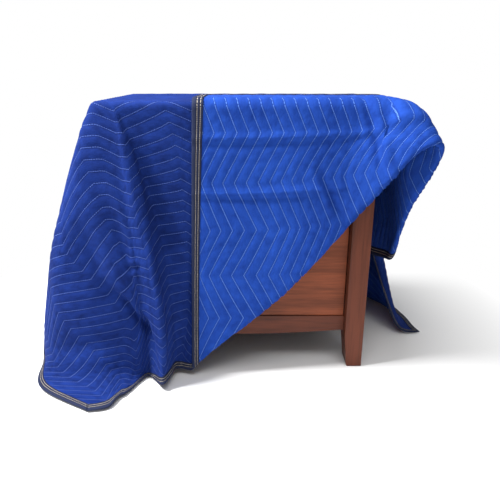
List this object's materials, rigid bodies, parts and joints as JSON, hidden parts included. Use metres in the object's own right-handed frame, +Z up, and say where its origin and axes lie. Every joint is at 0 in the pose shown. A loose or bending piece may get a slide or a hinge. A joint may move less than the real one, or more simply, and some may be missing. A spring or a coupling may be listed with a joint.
{
  "type": "moving blanket draped over a wooden cabinet",
  "caption": "Quilted moving blanket with taped hems, draped over a plain wooden cabinet down to the floor, a front corner folded back over the top.",
  "frame": {"origin": "middle of the bounding box on the floor", "axes": "+Z up, +X to the right of the cabinet's front, +Y from its front to its back"},
  "size_m": [1.305, 1.0962, 0.7752],
  "materials": {
    "quilt": "matte quilted polyester and cotton",
    "tape": "matte woven tape",
    "wood": "stained, satin lacquer",
    "panel_wood": "stained, satin lacquer"
  },
  "bodies": {
    "root": {"quilted_cloth": "quilt", "front_binding": "tape", "right_binding": "tape", "back_binding": "tape", "left_binding": "tape", "top_board": "wood", "leg_front_left": "wood", "leg_front_right": "wood", "leg_back_left": "wood", "leg_back_right": "wood", "front_rail": "wood", "back_rail": "wood", "left_rail": "wood", "right_rail": "wood", "front_panel": "panel_wood", "back_panel": "panel_wood", "left_panel": "panel_wood", "right_panel": "panel_wood"}
  },
  "joints": []
}
